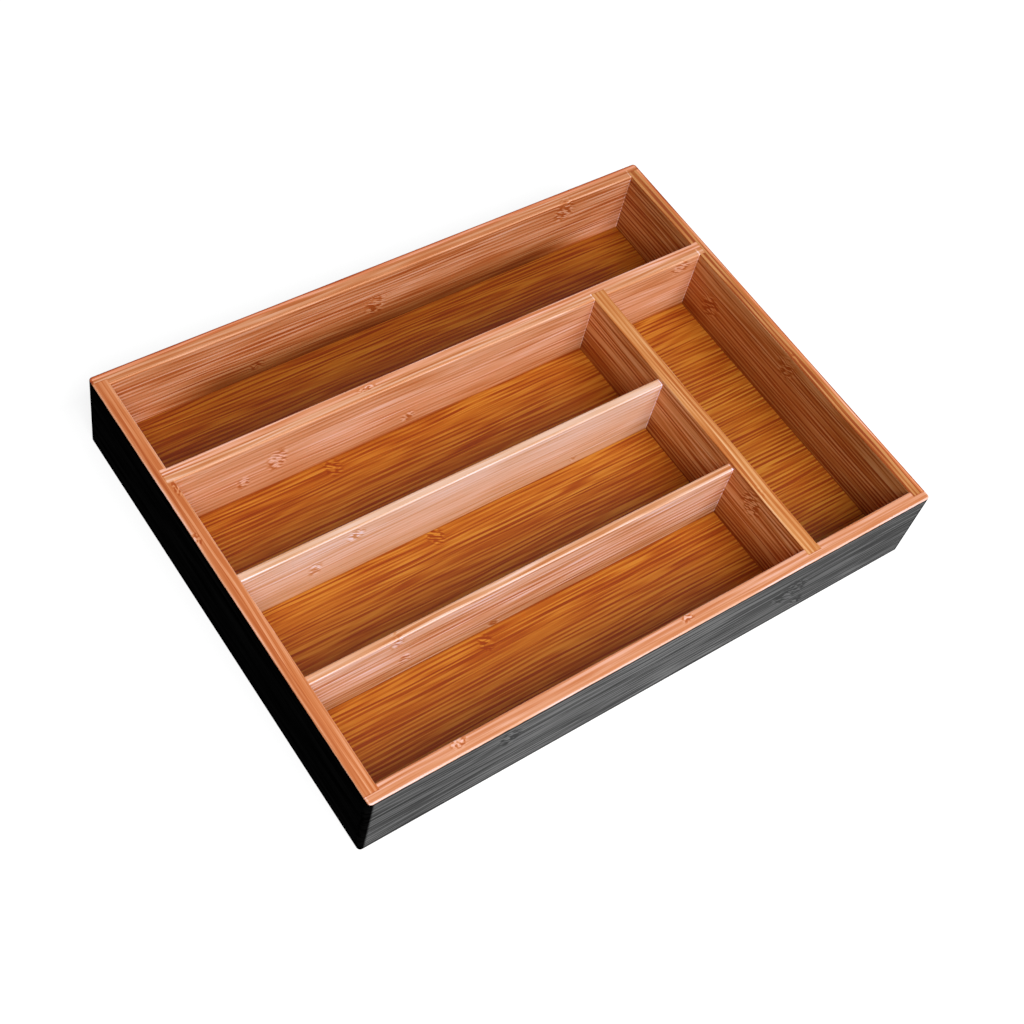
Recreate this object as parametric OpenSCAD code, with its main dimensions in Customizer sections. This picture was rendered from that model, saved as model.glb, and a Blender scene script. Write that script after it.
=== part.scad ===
// Drawer tray of laminated bamboo. Four wall boards stand round a bottom panel that sits in
// their grooves, and four dividers make five compartments. The outside is stained black.
// Frame: X runs along the front from left to right, Y towards the back and Z up. The origin is
// at the centre of the underside. All sizes are in millimetres.

/* [Tray] */
// Width of the tray, along X
tray_w = 340; // [320:1:380]
// Depth of the tray, along Y
tray_d = 260; // [250:1:290]
// Height of the walls
tray_h = 50; // [44:1:70]
// Thickness of the four wall boards
wall_t = 8; // [7:0.5:12]
// Radius of the upright outside corners
corner_r = 2; // [1.5:0.5:4]
// Radius that the exposed edges are sanded to
ease_r = 0.8; // [0.4:0.1:1.2]

/* [Bottom panel] */
// Thickness of the bottom panel
panel_t = 4.5; // [3:0.5:6]
// Height of the panel's underside above the surface that the tray stands on
panel_z = 4; // [2:0.5:5]
// Room left between the panel's edge and the bottom of its groove
panel_gap = 0.5; // [0.2:0.1:1]

/* [Dividers] */
// Thickness of the long divider and the cross divider
divider_t = 8.5; // [6:0.5:10]
// Middle of the long divider, measured back from the tray's centre
long_y = 61.5; // [50:0.5:80]
// Middle of the cross divider, measured right from the tray's centre
cross_x = 93; // [80:0.5:110]
// Thickness of the two short dividers
short_t = 4.5; // [4:0.5:6]
// Middle of the rear short divider, measured back from the tray's centre
rear_short_y = -2.5; // [-12:0.5:8]
// Middle of the front short divider, measured back from the tray's centre
front_short_y = -63.5; // [-75:0.5:-55]
// How far the short dividers stop below the tops of the walls
short_drop = 2.5; // [1.5:0.5:6]

/* [Joints] */
// Depth of the corner rabbets, and of the groove for the bottom panel that runs out into them
rabbet_d = 3.5; // [3:0.5:5]
// Depth of the housings for the long and cross dividers, open at the top
housing_d = 4; // [3:0.5:5]
// Depth of the stopped housings for the short dividers
stopped_d = 2.5; // [2:0.5:2.5]

/* [Hidden] */
$fn = 96;

bamboo = "#D08C5C";
panel_bamboo = "#A9661F";

inner_x = tray_w / 2 - wall_t;
inner_y = tray_d / 2 - wall_t;
floor_z = panel_z + panel_t;
short_h = tray_h - short_drop;
long_front = long_y - divider_t / 2;
long_back = long_y + divider_t / 2;
cross_left = cross_x - divider_t / 2;
cross_right = cross_x + divider_t / 2;

// The openings that the full-height boards leave in the rim, each by its corners in plan
RIM_OPENINGS = [
    [[-inner_x, long_back], [inner_x, inner_y]],
    [[-inner_x, -inner_y], [cross_left, long_front]],
    [[cross_right, -inner_y], [inner_x, long_front]]
];

// How far a cut runs on past the wood that it takes away
over = 1;

// A box given by its lowest and highest corners
module box(low, high) {
    translate(low) cube(high - low);
}

// Section through the glued-up walls: a rectangle with its corners sanded round
module sanded_section(width) {
    flat = width - 2 * ease_r;
    translate([-flat / 2, 0]) square([flat, tray_h]);
    translate([-width / 2, ease_r]) square([width, tray_h - 2 * ease_r]);
    for (x = [-flat / 2, flat / 2], z = [ease_r, tray_h - ease_r])
        translate([x, z]) circle(ease_r);
}

// One upright corner of the tray, a round post with sanded ends
module corner_post() {
    rotate_extrude() intersection() {
        sanded_section(2 * corner_r);
        square([corner_r, tray_h]);
    }
}

// The sanded outside of the tray as one solid, which each wall board is cut from
module outside() {
    straight_w = tray_w - 2 * corner_r;
    straight_d = tray_d - 2 * corner_r;
    rotate([90, 0, 0]) linear_extrude(straight_d, center = true) sanded_section(tray_w);
    rotate([90, 0, 90]) linear_extrude(straight_w, center = true) sanded_section(tray_d);
    for (x = [-straight_w / 2, straight_w / 2], y = [-straight_d / 2, straight_d / 2])
        translate([x, y, 0]) corner_post();
}

// Section through the mouth of an opening, which widens to the top as its edges are sanded
module mouth_section(width) {
    wide = width + 2 * ease_r;
    difference() {
        translate([-wide / 2, 0]) square([wide, ease_r + over]);
        for (x = [-wide / 2, wide / 2]) translate([x, 0]) circle(ease_r);
    }
}

// What sanding takes off round the top of the three rim openings
module rim_sanding() {
    for (opening = RIM_OPENINGS) {
        size = opening[1] - opening[0];
        middle = (opening[0] + opening[1]) / 2;
        translate([middle[0], middle[1], tray_h - ease_r]) intersection() {
            rotate([90, 0, 0]) linear_extrude(tray_d, center = true) mouth_section(size[0]);
            rotate([90, 0, 90]) linear_extrude(tray_w, center = true) mouth_section(size[1]);
        }
    }
}

// Front or back board as it stands at the front: full width, rabbeted at both ends and grooved
// for the bottom panel
module end_board() {
    difference() {
        intersection() {
            outside();
            box([-tray_w / 2, -tray_d / 2, 0], [tray_w / 2, -inner_y, tray_h]);
        }
        for (side = [0, 1]) mirror([side, 0, 0])
            box([inner_x, -inner_y - rabbet_d, -over], [tray_w / 2 + over, -inner_y + over, tray_h + over]);
        box([-inner_x - over, -inner_y - rabbet_d, panel_z], [inner_x + over, -inner_y + over, floor_z]);
    }
}

// Left or right board as it stands at the left: its ends sit in the rabbets, it is grooved for
// the bottom panel and housed for the long divider
module side_board() {
    difference() {
        intersection() {
            outside();
            box([-tray_w / 2, -inner_y - rabbet_d, 0], [-inner_x, inner_y + rabbet_d, tray_h]);
        }
        box([-inner_x - rabbet_d, -tray_d / 2, panel_z], [-inner_x + over, tray_d / 2, floor_z]);
        box([-inner_x - housing_d, long_front, floor_z], [-inner_x + over, long_back, tray_h + over]);
    }
}

module front_board() {
    color(bamboo) difference() {
        end_board();
        box([cross_left, -inner_y - housing_d, floor_z], [cross_right, -inner_y + over, tray_h + over]);
        rim_sanding();
    }
}

module back_board() {
    color(bamboo) difference() {
        mirror([0, 1, 0]) end_board();
        rim_sanding();
    }
}

module left_board() {
    color(bamboo) difference() {
        side_board();
        rim_sanding();
        rear_short_divider();
        front_short_divider();
    }
}

module right_board() {
    color(bamboo) difference() {
        mirror([1, 0, 0]) side_board();
        rim_sanding();
    }
}

module bottom_panel() {
    reach = rabbet_d - panel_gap;
    color(panel_bamboo)
        box([-inner_x - reach, -inner_y - reach, panel_z], [inner_x + reach, inner_y + reach, floor_z]);
}

module long_divider() {
    color(bamboo) difference() {
        box([-inner_x - housing_d, long_front, floor_z], [inner_x + housing_d, long_back, tray_h]);
        box(
            [cross_left, long_front - over, floor_z - over],
            [cross_right, long_front + housing_d, tray_h + over]
        );
        rim_sanding();
    }
}

module cross_divider() {
    color(bamboo) difference() {
        box([cross_left, -inner_y - housing_d, floor_z], [cross_right, long_front + housing_d, tray_h]);
        rim_sanding();
        rear_short_divider();
        front_short_divider();
    }
}

// Section through a short divider, standing on the panel, with its two top edges sanded
module short_section() {
    rise = short_h - floor_z;
    flat = short_t - 2 * ease_r;
    translate([-short_t / 2, 0]) square([short_t, rise - ease_r]);
    translate([-flat / 2, 0]) square([flat, rise]);
    for (x = [-flat / 2, flat / 2]) translate([x, rise - ease_r]) circle(ease_r);
}

// A short divider with its middle at depth y, from one stopped housing to the other
module short_divider(y) {
    length = inner_x + cross_left + 2 * stopped_d;
    color(bamboo) translate([-inner_x - stopped_d, y, floor_z])
        rotate([90, 0, 90]) linear_extrude(length) short_section();
}

module rear_short_divider() {
    short_divider(rear_short_y);
}

module front_short_divider() {
    short_divider(front_short_y);
}

front_board();
back_board();
left_board();
right_board();
bottom_panel();
long_divider();
cross_divider();
rear_short_divider();
front_short_divider();
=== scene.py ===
import math

import bpy
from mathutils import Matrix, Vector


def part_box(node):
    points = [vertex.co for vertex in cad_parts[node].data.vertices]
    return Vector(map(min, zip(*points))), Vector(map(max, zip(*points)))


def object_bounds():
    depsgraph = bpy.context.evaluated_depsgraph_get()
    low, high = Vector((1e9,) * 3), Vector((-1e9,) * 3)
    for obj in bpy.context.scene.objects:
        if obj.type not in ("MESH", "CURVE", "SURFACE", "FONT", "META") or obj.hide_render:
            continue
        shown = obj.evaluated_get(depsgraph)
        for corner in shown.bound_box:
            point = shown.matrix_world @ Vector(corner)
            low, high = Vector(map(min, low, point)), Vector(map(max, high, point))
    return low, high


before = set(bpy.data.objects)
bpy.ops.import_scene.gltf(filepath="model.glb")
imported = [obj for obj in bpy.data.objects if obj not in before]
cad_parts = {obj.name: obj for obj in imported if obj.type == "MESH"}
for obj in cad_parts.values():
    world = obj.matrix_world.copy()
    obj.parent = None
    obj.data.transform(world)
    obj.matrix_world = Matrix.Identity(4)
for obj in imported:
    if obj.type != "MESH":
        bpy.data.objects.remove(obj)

cad_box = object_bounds()
bpy.ops.object.select_all(action="DESELECT")

# ------------------------------------------------------------------------------------------------
# Bottom panel
# The floor of the tray is a thin board glued up edge to edge from amber bamboo strips, which run
# from left to right. It is varnished before it goes in, and its edges sit in grooves all round.
# ------------------------------------------------------------------------------------------------
PANEL_AMBER = (0.435, 0.122, 0.0090)
PANEL_SEAM = -50                       # lies below the panel, which is a single ply


def add(tree, kind, sockets=None, **settings):
    """Adds a shader node, sets its settings, and fills or links the sockets that are named."""
    new = tree.nodes.new("ShaderNode" + kind)
    for name, value in settings.items():
        setattr(new, name, value)
    for key, value in (sockets or {}).items():
        if isinstance(value, bpy.types.NodeSocket):
            tree.links.new(value, new.inputs[key])
        else:
            new.inputs[key].default_value = value
    return new


def number(tree, operation, *values):
    """The number that a math node makes of some values."""
    return add(tree, "Math", dict(enumerate(values)), operation=operation).outputs[0]


def vector(tree, operation, *values):
    """The vector that a vector math node makes of some values."""
    return add(tree, "VectorMath", dict(enumerate(values)), operation=operation).outputs["Vector"]


def length(tree, value):
    """The length of a vector."""
    return add(tree, "VectorMath", {0: value}, operation="LENGTH").outputs["Value"]


def ease(tree, value, start, end, low=0.0, high=1.0):
    """Low where value is at start, high where it is at end, and a smooth rise between them."""
    sockets = {"Value": value, "From Min": start, "From Max": end, "To Min": low, "To Max": high}
    return add(tree, "MapRange", sockets, interpolation_type="SMOOTHSTEP").outputs[0]


def mix(tree, share, first, second):
    """Two colours mixed, with share of the second."""
    sockets = {0: share, 6: first, 7: second}
    return add(tree, "Mix", sockets, data_type="RGBA").outputs[2]


def cloud(tree, place, size, detail=0.0):
    """Noise about 0 with lumps of the given size along, across and through."""
    sockets = {"Vector": vector(tree, "DIVIDE", place, size), "Scale": 1.0, "Detail": detail}
    return number(tree, "SUBTRACT", add(tree, "TexNoise", sockets).outputs[0], 0.5)


# The figure of the bamboo. Sizes are in millimetres, and those of three numbers are along, across
# and through the strips. Steps are two values of the noise, and how much paler it is at each.
STRIP_WIDTH = 17.0
STRIP_APART = (400, 90, 90)            # how far apart in the wood two strips can lie
SLOW_BENDS = (60, 14, 14)
UNEVEN_BENDS = (100, 2.8, 2.8)
BEND_REACH = 2.0
WINDINGS = (5, 3.5, 3.5)
WINDING_REACH = 5.5
WIDE_BUNDLES = (50, 1.35, 0.42)        # length, width, and how much deeper every other one is
NARROW_BUNDLES = (30, 1.0, 0.12)
BUNDLE_APART = 7.31                    # how far apart in the noise two neighbouring bundles lie
BUNDLE_STEPS = (-0.34, 0.16, -0.40, 0.15)
CALM_PATCHES = (60, 9, 9)
CALM_SHARES = (-0.12, 0.12, 0.75, 1.15)
WIDE_STREAKS = (80, 3.4, 3.4)
SHORT_FIBRES = (4.5, 1.05, 1.05)
SHORT_STEPS = (-0.12, 0.10, -0.95, 0.45)
GLUE_LINE = (0.15, 0.55)               # how far from its middle it is full, and where it has gone
GLUE_PATCHES = (30, 9, 9)


def bundles(tree, along, rank, reach, width, turns):
    """Noise about 0 that is the same right across each bundle of fibres, and changes along it
    within its reach. Every other bundle is deeper by turns."""
    index = number(tree, "FLOOR", number(tree, "DIVIDE", rank, width))
    sockets = {
        0: number(tree, "DIVIDE", along, reach),
        1: number(tree, "MULTIPLY", index, BUNDLE_APART),
        2: width,
    }
    noise = cloud(tree, add(tree, "CombineXYZ", sockets).outputs[0], (1, 1, 1))
    other = number(tree, "SUBTRACT", number(tree, "PINGPONG", index, 1.0), 0.5)
    return number(tree, "MULTIPLY_ADD", other, turns, noise)


def strips_group():
    """The figure of a board glued up from bamboo strips, in millimetres along, across and through
    them. Fibre is how much paler or deeper the fibres are, Broad the same for long wide streaks,
    Tone the chance of each strip, and Joint shows the glue lines between strips and plies. In a
    knuckle the fibres wind, and Marks are the short pale and dark fibres that stand aslant in
    it."""
    tree = bpy.data.node_groups.new("bamboo_strips", "ShaderNodeTree")
    face = tree.interface
    face.new_socket("Place", in_out="INPUT", socket_type="NodeSocketVector")
    for name in ("Strip Shift", "Ply Seam", "Seed", "Knuckle", "Fibre Length", "Fibre Width"):
        face.new_socket(name, in_out="INPUT", socket_type="NodeSocketFloat")
    for name in ("Fibre", "Broad", "Tone", "Joint", "Marks"):
        face.new_socket(name, in_out="OUTPUT", socket_type="NodeSocketFloat")
    given = tree.nodes.new("NodeGroupInput").outputs

    # Each strip of each ply has its own chance and its own stretch of the noise
    parts = add(tree, "SeparateXYZ", {0: given["Place"]}).outputs
    row = number(tree, "SUBTRACT", parts[1], given["Strip Shift"])
    row = number(tree, "DIVIDE", row, STRIP_WIDTH)
    ply = number(tree, "GREATER_THAN", parts[2], given["Ply Seam"])
    sockets = {0: number(tree, "FLOOR", row), 1: ply, 2: given["Seed"]}
    cell = add(tree, "CombineXYZ", sockets).outputs[0]
    chance = add(tree, "TexWhiteNoise", {"Vector": cell}, noise_dimensions="3D").outputs
    apart = vector(tree, "MULTIPLY", chance["Color"], STRIP_APART)
    own = vector(tree, "ADD", given["Place"], apart)

    # The fibres bend slowly, lie unevenly, and wind in a knuckle
    bend = number(tree, "MULTIPLY", cloud(tree, own, SLOW_BENDS), BEND_REACH)
    bend = number(tree, "MULTIPLY_ADD", cloud(tree, own, UNEVEN_BENDS), BEND_REACH, bend)
    winding = number(tree, "MULTIPLY", cloud(tree, own, WINDINGS), given["Knuckle"])
    bend = number(tree, "MULTIPLY_ADD", winding, WINDING_REACH, bend)
    bent = vector(tree, "ADD", own, add(tree, "CombineXYZ", {1: bend, 2: bend}).outputs[0])
    ways = add(tree, "SeparateXYZ", {0: own}).outputs
    rank = number(tree, "ADD", number(tree, "ADD", ways[1], ways[2]), bend)
    rank = number(tree, "DIVIDE", rank, given["Fibre Width"])
    along = number(tree, "DIVIDE", ways[0], given["Fibre Length"])
    fibre = ease(tree, bundles(tree, along, rank, *WIDE_BUNDLES), *BUNDLE_STEPS)
    fibre = number(tree, "ADD", bundles(tree, along, rank, *NARROW_BUNDLES), fibre)
    calm = ease(tree, cloud(tree, own, CALM_PATCHES), *CALM_SHARES)
    fibre = number(tree, "MULTIPLY", fibre, calm)
    broad = cloud(tree, bent, WIDE_STREAKS, detail=1.0)

    # The short fibres of a knuckle are turned by 0.35 to 0.6 radians, by the chance of their strip
    angle = number(tree, "MULTIPLY_ADD", chance["Value"], 0.25, 0.35)
    sockets = {"Vector": own, "Angle": angle}
    slant = add(tree, "VectorRotate", sockets, rotation_type="Z_AXIS").outputs[0]
    marks = ease(tree, cloud(tree, slant, SHORT_FIBRES), *SHORT_STEPS)
    marks = number(tree, "MULTIPLY", marks, given["Knuckle"])

    # Glue lines show between two strips and between the plies, but only in places
    edge = number(tree, "MULTIPLY", number(tree, "PINGPONG", row, 0.5), STRIP_WIDTH)
    seam = number(tree, "ABSOLUTE", number(tree, "SUBTRACT", parts[2], given["Ply Seam"]))
    joint = ease(tree, number(tree, "MINIMUM", edge, seam), *GLUE_LINE, 1.0, 0.0)
    shown = ease(tree, cloud(tree, own, GLUE_PATCHES), -0.12, 0.1)
    joint = number(tree, "MULTIPLY", joint, shown)

    result = tree.nodes.new("NodeGroupOutput").inputs
    for place, value in enumerate((fibre, broad, chance["Value"], joint, marks)):
        tree.links.new(value, result[place])
    return tree


# How a board takes its colour and its varnish. Steps say how much paler than its ply the wood is.
MM = 1000                              # from the frame's metres to the figure's millimetres
TURNS = {"panel": (0, 1, 2), "x": (0, 2, 1), "y": (1, 2, 0)}
PALER = (1.55, 2.72, 6.05)             # how much more red, green and blue one step paler has
PAINTED_SHADE_POWERS = (1.0, 1.35, 2.2)              # powers of the share left where painted shade darkens a board's colour
BROAD_STEPS = 0.22
PALEST_STEPS = (0.55, 0.4)             # the most, and how softly the fibres level off at it
DEEPEST_STEPS = (-1.1, 0.5)
STRIP_STEPS = (-0.09, 0.07)            # of the deepest and of the palest strip
GLUE_STEPS = -0.38
# a pale line painted into inside corners as a highlight
CORNER_HIGHLIGHT_STEPS = 0.55
END_GRAIN_STEPS = -0.5
FOOT_STEPS = -1.1
CORNER_HIGHLIGHT_LINE = (0.65, 0.35)             # how far away it starts, and how near it is full
END_GRAIN = (0.2, 0.5)                 # how near an end it is full, and how far in it has gone
FOOT_LINE = (8.7, 9.7)                 # heights just above the panel where it is full and has gone
LYING = (0.5, 0.8)                     # slopes at which a face starts to count as a top, and does
VARNISH_GLOSS = 0.3
VARNISH_ROUGHNESS = (0.50, 0.40)       # on the deepest and on the palest fibres
strips = strips_group()


def bamboo(node, turn, plies, shift, seam, seed, knuckles, contrast=1.0, rim=(1.0, 0.0, 0.0),
           arris_wear_and_highlight=0.18, fibre=(1.0, 1.0), corners=(), deeper=(2, 8, 28, 0.74, 1.0),
           fade=(300, 400)):
    """Gives a board of the frame its own varnished bamboo. Its strips run along the axis that turn
    says. Plies are the colours on the low and the high side of the seam. Knuckles are places along,
    across and through the strips, each with its reach. Contrast is the figure's strength. Rim holds
    its share on the top edge, and how much paler the two plies are there. Arris is how much paler
    the sanded edges are painted, partly as wear and partly as a painted highlight, and fibre the
    length and width of a fibre. Corners are places along the board where another board meets its
    low side, and a pale line is painted into the corner as a highlight. Deeper says along which
    axis, from where to where and between which shares painted shade darkens the board's colour,
    at the foot of the walls and over the rear of the panel. Fade says how far from the middle of
    the tray along X that starts to weaken and has gone. All places are in millimetres."""
    material = bpy.data.materials.new(node + "_bamboo")
    material.use_nodes = True
    tree = material.node_tree
    shader = tree.nodes["Principled BSDF"]
    seen = add(tree, "TexCoord").outputs
    here = vector(tree, "MULTIPLY", seen["Object"], (MM, MM, MM))
    axes = add(tree, "SeparateXYZ", {0: here}, name="place in millimetres").outputs
    along, across, through = [axes[axis] for axis in TURNS[turn]]
    place = add(tree, "CombineXYZ", {0: along, 1: across, 2: through}).outputs[0]
    upper = number(tree, "GREATER_THAN", through, seam)

    knuckle = 0.0
    for centre, reach in knuckles:
        away = vector(tree, "DIVIDE", vector(tree, "SUBTRACT", place, centre), reach)
        knuckle = number(tree, "MAXIMUM", knuckle, ease(tree, length(tree, away), 1.0, 0.4))
    sockets = {
        "Place": place, "Strip Shift": shift, "Ply Seam": seam, "Seed": seed,
        "Knuckle": knuckle, "Fibre Length": fibre[0], "Fibre Width": fibre[1],
    }
    figure = add(tree, "Group", sockets, node_tree=strips, name="figure").outputs

    # The figure itself
    slope = add(tree, "SeparateXYZ", {0: seen["Normal"]}).outputs[2]
    slope = number(tree, "ABSOLUTE", slope)
    strength = ease(tree, slope, *LYING, contrast, contrast * rim[0])
    steps = number(tree, "MULTIPLY", figure["Fibre"], strength)
    steps = number(tree, "MULTIPLY_ADD", figure["Broad"], BROAD_STEPS, steps)
    steps = number(tree, "MULTIPLY_ADD", figure["Marks"], 0.6 + 0.4 * contrast, steps)
    steps = number(tree, "SMOOTH_MIN", steps, *PALEST_STEPS)
    steps = number(tree, "SMOOTH_MAX", steps, *DEEPEST_STEPS)
    steps = number(tree, "ADD", steps, ease(tree, figure["Tone"], 0.0, 1.0, *STRIP_STEPS))
    steps = number(tree, "MULTIPLY_ADD", figure["Joint"], GLUE_STEPS, steps)

    # A painted highlight in the corners with other boards, the board's own end grain, and its foot
    # on the panel
    lower = ease(tree, upper, 0.0, 1.0, 1.0, 0.0)
    for corner in corners:
        away = number(tree, "ABSOLUTE", number(tree, "SUBTRACT", along, corner))
        line = number(tree, "MULTIPLY", ease(tree, away, *CORNER_HIGHLIGHT_LINE), lower)
        steps = number(tree, "MULTIPLY_ADD", line, CORNER_HIGHLIGHT_STEPS, steps)
    first, last = [corner[TURNS[turn][0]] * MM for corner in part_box(node)]
    from_first = number(tree, "SUBTRACT", along, first)
    from_last = number(tree, "SUBTRACT", last, along)
    end = number(tree, "MINIMUM", from_first, from_last)
    steps = number(tree, "ADD", steps, ease(tree, end, *END_GRAIN, END_GRAIN_STEPS, 0.0))
    if turn != "panel":
        steps = number(tree, "ADD", steps, ease(tree, axes[2], *FOOT_LINE, FOOT_STEPS, 0.0))

    # Sanded edges, painted paler partly as wear and partly as a painted highlight, and the top
    rounded = number(tree, "MULTIPLY", ease(tree, slope, 0.15, 0.45), ease(tree, slope, 0.97, 0.85))
    steps = number(tree, "MULTIPLY_ADD", rounded, arris_wear_and_highlight, steps)
    top_steps = ease(tree, upper, 0.0, 1.0, *rim[1:])
    on_top = number(tree, "MULTIPLY", ease(tree, slope, *LYING), top_steps)
    steps = number(tree, "ADD", steps, on_top)

    low_ply, high_ply = [(*colour, 1) for colour in plies]
    base = mix(tree, upper, low_ply, high_ply)
    wood = vector(tree, "MULTIPLY", base, vector(tree, "POWER", PALER, steps))
    # Painted shade: the colour darkens along one axis, at the foot of the walls and over the rear
    # of the panel
    axis, start, stop, least, most = deeper
    least = ease(tree, number(tree, "ABSOLUTE", axes[0]), *fade, least, 1.0)
    deep = vector(tree, "POWER", ease(tree, axes[axis], start, stop, least, most), PAINTED_SHADE_POWERS)
    wood = vector(tree, "MULTIPLY", wood, deep)
    sheen = ease(tree, figure["Fibre"], -0.3, 0.3, *VARNISH_ROUGHNESS)
    relief = number(tree, "SUBTRACT", figure["Fibre"], figure["Joint"])
    bump = add(tree, "Bump", {"Strength": 0.3, "Distance": 0.0001, "Height": relief})
    tree.links.new(wood, shader.inputs["Base Color"])
    tree.links.new(sheen, shader.inputs["Roughness"])
    tree.links.new(bump.outputs[0], shader.inputs["Normal"])
    shader.inputs["Specular IOR Level"].default_value = VARNISH_GLOSS
    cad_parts[node].material_slots[0].material = material


# The panel's rear stretch behind the long divider is darkened as painted shade
bamboo(
    "bottom_panel", "panel", (PANEL_AMBER, PANEL_AMBER), shift=-4.0, seam=PANEL_SEAM, seed=1,
    knuckles=[((-74, 52, 8), (6, 7, 9)), ((-50, -8, 8), (6, 7, 9)), ((-62, -72, 8), (5, 6, 9))],
    contrast=2.3, fibre=(0.8, 0.85), deeper=(1, 60, 64, 1.0, 0.72),
)

# ------------------------------------------------------------------------------------------------
# Side boards
# The left and right walls are two plies of bamboo strips that run from front to back. They are
# varnished inside and on top, and their outer faces are stained black after the tray is glued.
# ------------------------------------------------------------------------------------------------
LEFT_OUTER = (0.550, 0.152, 0.042)
LEFT_INNER = (0.685, 0.238, 0.087)
RIGHT_INNER = (0.553, 0.202, 0.053)
RIGHT_OUTER = (0.800, 0.300, 0.125)

# The stain. Its sizes and heights are in millimetres.
CORNER_RADIUS = 2.0                    # of the tray's upright corners
STAIN_SIDES_WITH_PAINTED_SHADE = 0.003                    # on the side boards and all end grain, near black as painted shade
STAIN_FRONT_WITH_PAINTED_REFLECTION = 0.089                    # paler on the front and back boards: the stain with a painted reflection
STAIN_DEPTH = 0.35
STAIN_BLEED = (3.6, 1.8)               # how far from the ends it starts to sink in deeper and turn to the sides' painted shade, and does
STAIN_WAVES = (5, 1.5, 1.5)            # size of the waves in its upper and lower edges
STAIN_WAVE_HEIGHT = 0.5
STAIN_TOP = (49.55, 49.25)             # heights where it starts below the rim, and where it is full
STAIN_FOOT = (0.1, 0.3)
# Bands along the upper and lower edges of the outer faces are darker; the lower one is painted
# shade
STAIN_TOP_EDGE = (48.4, 47.0)          # heights where it is darkest, and where it no longer is
STAIN_FOOT_PAINTED_SHADE = (1.9, 3.4)
STAIN_ROUGHNESS = 0.85


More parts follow.
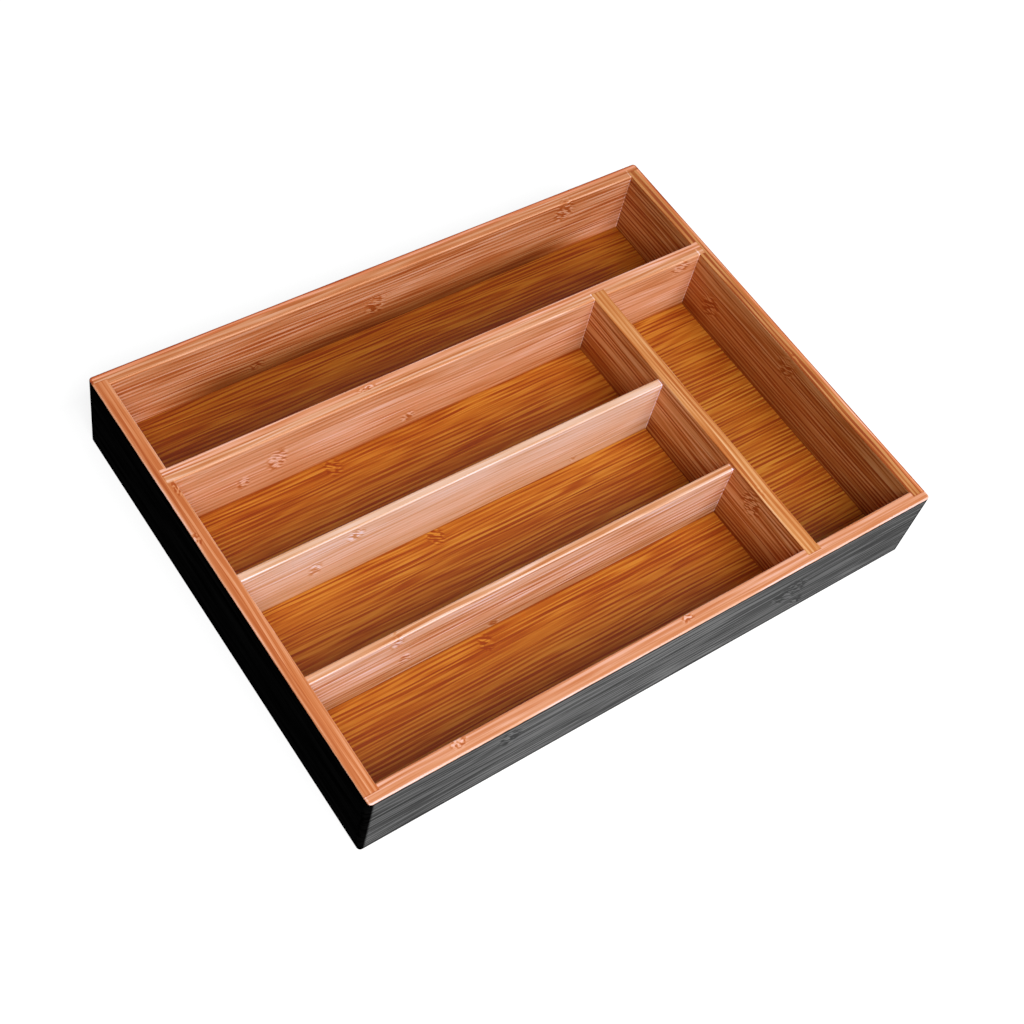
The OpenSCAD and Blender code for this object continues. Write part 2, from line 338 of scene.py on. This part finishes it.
def stain(node, rim_edge):
    """Stains the outer faces of a wall board black, from the lower edge up to where the rim is
    sanded back to bare bamboo. The faces are painted darker along their upper and lower edges,
    which at the lower edge is painted shade. On the sides and round the tray's corners the black
    is near black, which is painted shade, and on the front and back it is grey, which is a painted
    reflection. Rim_edge is how much paler than the wood the rim's sanded outer edge is painted;
    where it is paler, this is a painted highlight."""
    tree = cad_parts[node].material_slots[0].material.node_tree
    shader = tree.nodes["Principled BSDF"]
    figure = tree.nodes["figure"].outputs
    axes = tree.nodes["place in millimetres"].outputs
    place = tree.nodes["figure"].inputs["Place"].links[0].from_socket
    right, back = cad_box[1][0] * MM, cad_box[1][1] * MM

    # How far out a point lies, up to the corner radius at the tray's rounded outline
    flat = vector(tree, "ABSOLUTE", add(tree, "CombineXYZ", {0: axes[0], 1: axes[1]}).outputs[0])
    past = vector(tree, "SUBTRACT", flat, (right - CORNER_RADIUS, back - CORNER_RADIUS, 0))
    around = length(tree, vector(tree, "MAXIMUM", past, (0, 0, 0)))
    sides = add(tree, "SeparateXYZ", {0: past}).outputs
    within = number(tree, "MINIMUM", number(tree, "MAXIMUM", sides[0], sides[1]), 0.0)
    outside = number(tree, "ADD", around, within)
    full = CORNER_RADIUS - STAIN_DEPTH
    waves = cloud(tree, place, STAIN_WAVES)
    height = number(tree, "MULTIPLY_ADD", waves, STAIN_WAVE_HEIGHT, axes[2])
    share = ease(tree, outside, full - 0.2, full)
    share = number(tree, "MULTIPLY", share, ease(tree, height, *STAIN_TOP))
    share = number(tree, "MULTIPLY", share, ease(tree, height, *STAIN_FOOT))

    # How black it is: near black on the sides and the ends, which is painted shade, grey on the
    # front and back, which is a painted reflection, and a little paler left of the middle
    facing = add(tree, "SeparateXYZ", {0: add(tree, "TexCoord").outputs["Normal"]}).outputs[0]
    sideways = ease(tree, number(tree, "ABSOLUTE", facing), 0.2, 0.7)
    starts, sunk = [CORNER_RADIUS - inward for inward in STAIN_BLEED]
    sideways = number(tree, "MAXIMUM", sideways, ease(tree, sides[0], starts, sunk))
    black = number(tree, "MULTIPLY_ADD", sideways, STAIN_SIDES_WITH_PAINTED_SHADE - STAIN_FRONT_WITH_PAINTED_REFLECTION, STAIN_FRONT_WITH_PAINTED_REFLECTION)
    off = number(tree, "ABSOLUTE", number(tree, "ADD", axes[0], 25.0))
    black = number(tree, "MULTIPLY", black, ease(tree, off, 30, 130, 1.10, 0.86))

    # The grain that shows through it, and its darker upper and lower edges; at the lower edge this
    # is painted shade
    streaks = number(tree, "MULTIPLY", figure["Fibre"], 4.0)
    streaks = number(tree, "MULTIPLY_ADD", figure["Broad"], 5.6, streaks)
    streaks = number(tree, "MULTIPLY_ADD", figure["Marks"], 3.0, streaks)
    streaks = number(tree, "SMOOTH_MIN", streaks, 0.60, 0.4)
    streaks = number(tree, "SMOOTH_MAX", streaks, -1.7, 0.5)
    streaks = number(tree, "ADD", streaks, ease(tree, figure["Tone"], 0.0, 1.0, -0.12, 0.12))
    streaks = number(tree, "MULTIPLY_ADD", figure["Joint"], -1.8, streaks)
    below_top = ease(tree, height, *STAIN_TOP_EDGE)
    between = number(tree, "MULTIPLY", ease(tree, height, *STAIN_FOOT_PAINTED_SHADE), below_top)
    streaks = number(tree, "MULTIPLY_ADD", number(tree, "SUBTRACT", between, 1.0), 3.0, streaks)
    black = number(tree, "MULTIPLY", black, number(tree, "EXPONENT", streaks))

    wood = shader.inputs["Base Color"].links[0].from_socket
    # Where rim_edge is above 0, the rim's sanded outer edge is painted paler: a painted highlight
    edge = ease(tree, outside, CORNER_RADIUS - 1.3, CORNER_RADIUS - 0.8, 0.0, rim_edge)
    wood = vector(tree, "MULTIPLY", wood, vector(tree, "POWER", PALER, edge))
    sheen = shader.inputs["Roughness"].links[0].from_socket
    sheen = number(tree, "MAXIMUM", sheen, number(tree, "MULTIPLY", share, STAIN_ROUGHNESS))
    dull = number(tree, "MULTIPLY", share, sideways)
    gloss = ease(tree, dull, 0.0, 1.0, VARNISH_GLOSS, 0.0)
    tree.links.new(mix(tree, share, wood, black), shader.inputs["Base Color"])
    tree.links.new(sheen, shader.inputs["Roughness"])
    tree.links.new(gloss, shader.inputs["Specular IOR Level"])


bamboo(
    "left_board", "y", (LEFT_OUTER, LEFT_INNER), shift=2.0, seam=-166.7, seed=2, contrast=1.0,
    knuckles=[((24, 50, -168.4), (5, 5, 2)), ((53, 50, -163.6), (6, 5, 2))], arris_wear_and_highlight=0.5,
)
stain("left_board", rim_edge=0.45)
bamboo(
    "right_board", "y", (RIGHT_INNER, RIGHT_OUTER), shift=1.5, seam=167.3, seed=3, contrast=2.4,
    rim=(1.2, -0.22, 0.13), knuckles=[((-24, 41, 164), (10, 12, 4)), ((38, 26, 164), (10, 12, 4))],
    fibre=(1.2, 1.0), deeper=(2, 8, 30, 0.66, 1.0),
)
stain("right_board", rim_edge=-1.3)

# ------------------------------------------------------------------------------------------------
# Front and back boards
# The two long walls are paler and run from left to right. Their ends are rabbeted over the side
# boards, so that a strip of each side board's end shows in the rim.
# ------------------------------------------------------------------------------------------------
FRONT_OUTER = (0.700, 0.270, 0.120)
FRONT_INNER = (0.760, 0.330, 0.180)
BACK_INNER = (0.695, 0.285, 0.130)
BACK_OUTER = (0.800, 0.290, 0.140)
RIGHT_WALL_FACE = 162                  # where the right wall's inner face meets another board

bamboo(
    "front_board", "x", (FRONT_OUTER, FRONT_INNER), shift=14.5, seam=-126.6, seed=4, contrast=0.95,
    knuckles=[
        ((-94, 39, -129), (9, 9, 4)), ((82, 26, -129), (16, 13, 4)), ((93, 9, -129), (6, 6, 4)),
        ((-119.5, 50, -124.4), (6, 3, 3)), ((12, 50, -124.4), (5, 3, 3)),
    ],
    fibre=(0.85, 1.0), rim=(0.9, 0.20, -0.06),
)
stain("front_board", rim_edge=0.45)
# The foot of the back board's inner face is darkened, weakening towards both ends: a painted shadow
bamboo(
    "back_board", "x", (BACK_INNER, BACK_OUTER), shift=1.5, seam=127.2, seed=5, contrast=1.7,
    knuckles=[
        ((-7, 27, 123), (9, 10, 4)), ((116, 43, 123), (9, 10, 5)), ((-79, 16.5, 123), (6, 5, 4)),
    ],
    rim=(0.7, 0.0, 0.09), corners=[RIGHT_WALL_FACE], deeper=(2, 8, 34, 0.25, 1.0), fade=(95, 150),
)
stain("back_board", rim_edge=-1.3)

# ------------------------------------------------------------------------------------------------
# Long divider
# A full-height board of two plies of bamboo across the whole tray. Its ends are glued into
# housings in both side boards, which are open at the rim.
# ------------------------------------------------------------------------------------------------
LONG_FRONT = (0.790, 0.375, 0.202)
LONG_BACK = (0.800, 0.340, 0.180)
CROSS_FACE = 88.75                     # where the cross divider's left face meets another board

bamboo(
    "long_divider", "x", (LONG_FRONT, LONG_BACK), shift=4.5, seam=61.5, seed=6, contrast=1.05,
    knuckles=[
        ((-105, 29.5, 58), (8, 11, 5)), ((-124, 22, 58), (5, 6, 5)), ((-26, 17, 58), (6, 5, 5)),
        ((150, 45, 58), (9, 6, 5)), ((-52, 50, 62.5), (7, 3, 2)),
    ],
    corners=[CROSS_FACE, RIGHT_WALL_FACE],
)

# ------------------------------------------------------------------------------------------------
# Cross divider
# A full-height bamboo board of a single ply from the front wall to the long divider. Its ends are
# glued into housings in both, which are open at the rim.
# ------------------------------------------------------------------------------------------------
CROSS = (0.672, 0.265, 0.080)
DIVIDER_SEAM = 150                     # lies beside the dividers that are a single ply

bamboo(
    "cross_divider", "y", (CROSS, CROSS), shift=1.5, seam=DIVIDER_SEAM, seed=7, contrast=2.8,
    knuckles=[((-84, 40, 91), (10, 12, 6))], rim=(0.5, 0.06, 0.06), deeper=(2, 8, 38, 0.58, 1.0),
    fibre=(1.2, 1.0),
)

# ------------------------------------------------------------------------------------------------
# Short dividers
# Two thin bamboo boards of a single ply, a little lower than the walls. Their ends are glued into
# stopped housings in the left wall and the cross divider, so that none of them shows at the rim.
# ------------------------------------------------------------------------------------------------
REAR_SHORT = (0.900, 0.590, 0.450)
FRONT_SHORT = (0.880, 0.525, 0.375)

bamboo(
    "rear_short_divider", "x", (REAR_SHORT, REAR_SHORT), shift=0.4, seam=DIVIDER_SEAM, seed=8,
    contrast=0.55,
    knuckles=[
        ((-98.4, 41, -2.5), (7, 7, 9)), ((-120, 26, -2.5), (5, 8, 9)),
        ((38, 14, -2.5), (3, 3, 9)),
    ],
    rim=(1.0, -0.14, -0.14), corners=[CROSS_FACE],
)
bamboo(
    "front_short_divider", "x", (FRONT_SHORT, FRONT_SHORT), shift=1.0, seam=DIVIDER_SEAM, seed=9,
    contrast=1.5,
    knuckles=[
        ((-114, 43, -63.5), (5, 6, 9)), ((-107, 23, -63.5), (5, 6, 9)),
        ((-54, 12, -63.5), (5, 4, 9)),
    ],
    rim=(0.75, -0.26, -0.26), fibre=(1.0, 1.25), corners=[CROSS_FACE],
    deeper=(2, 8, 30, 0.60, 1.0),
)

# ------------------------------------------------------------------------------------------------
# Studio
# A plain white floor that keeps the tray's soft shadow, one large softbox in front and above, and
# an even, weak light all round.
# ------------------------------------------------------------------------------------------------
WHITE = (1, 1, 1, 1)
FLOOR_SIZE = 16.0
FLOOR_GREY = (0.35, 0.35, 0.35, 1)     # what the floor gives back of the light that falls on it
FLOOR_GLOW = (0.25, 0.9, 0.80, 1.0)    # two distances from its middle, and its own light at each
SOFTBOX_SIZE = (2.3, 1.25)
SOFTBOX_POWER = 64.0
SOFTBOX_PLACE = (-0.09, -1.40, 1.84)
AMBIENT = 0.16
CAMERA_LENS = 60.573
CAMERA_PLACE = (-0.38770, -0.35270, 0.73509)
CAMERA_TURN = (33.846, -9.559, -34.498)


def seen_share(tree):
    """1 for the rays that come from the camera or from a mirror or glass, 0 for all others."""
    ray = add(tree, "LightPath").outputs
    shown = number(tree, "MAXIMUM", ray["Is Camera Ray"], ray["Is Glossy Ray"])
    return number(tree, "MAXIMUM", shown, ray["Is Transmission Ray"])


def put_up(name, lamp_or_camera, place, turn):
    """Puts up a lamp or the camera at its place, turned by its angles in radians."""
    stand = bpy.data.objects.new(name, lamp_or_camera)
    bpy.context.scene.collection.objects.link(stand)
    stand.location = place
    stand.rotation_euler = turn
    return stand


bpy.ops.mesh.primitive_plane_add(size=FLOOR_SIZE, location=(0, 0, 0))
floor = bpy.context.object
floor.name = "studio_floor"
floor_paint = bpy.data.materials.new("studio_floor_paint")
floor_paint.use_nodes = True
tree = floor_paint.node_tree
paint = tree.nodes["Principled BSDF"].inputs
paint["Base Color"].default_value = FLOOR_GREY
paint["Roughness"].default_value = 1.0
paint["Specular IOR Level"].default_value = 0.0
paint["Emission Color"].default_value = WHITE
glow = ease(tree, length(tree, add(tree, "TexCoord").outputs["Object"]), *FLOOR_GLOW)
tree.links.new(number(tree, "MULTIPLY", glow, seen_share(tree)), paint["Emission Strength"])
floor.data.materials.append(floor_paint)

world = bpy.data.worlds.new("studio_air")
bpy.context.scene.world = world
world.use_nodes = True
tree = world.node_tree
air = tree.nodes["Background"].inputs
air["Color"].default_value = WHITE
tree.links.new(ease(tree, seen_share(tree), 0.0, 1.0, AMBIENT, 1.0), air["Strength"])

softbox = bpy.data.lights.new("softbox", "AREA")
softbox.shape = "RECTANGLE"
softbox.size, softbox.size_y = SOFTBOX_SIZE
softbox.energy = SOFTBOX_POWER
side, ahead, up = SOFTBOX_PLACE
softbox_turn = (math.atan2(math.hypot(side, ahead), up), 0, math.atan2(side, -ahead))
put_up("softbox", softbox, SOFTBOX_PLACE, softbox_turn)

camera = bpy.data.cameras.new("camera")
camera.lens = CAMERA_LENS
camera.sensor_width = 36.0
camera_turn = [math.radians(angle) for angle in CAMERA_TURN]
bpy.context.scene.camera = put_up("camera", camera, CAMERA_PLACE, camera_turn)
bpy.context.scene.view_settings.view_transform = "Standard"
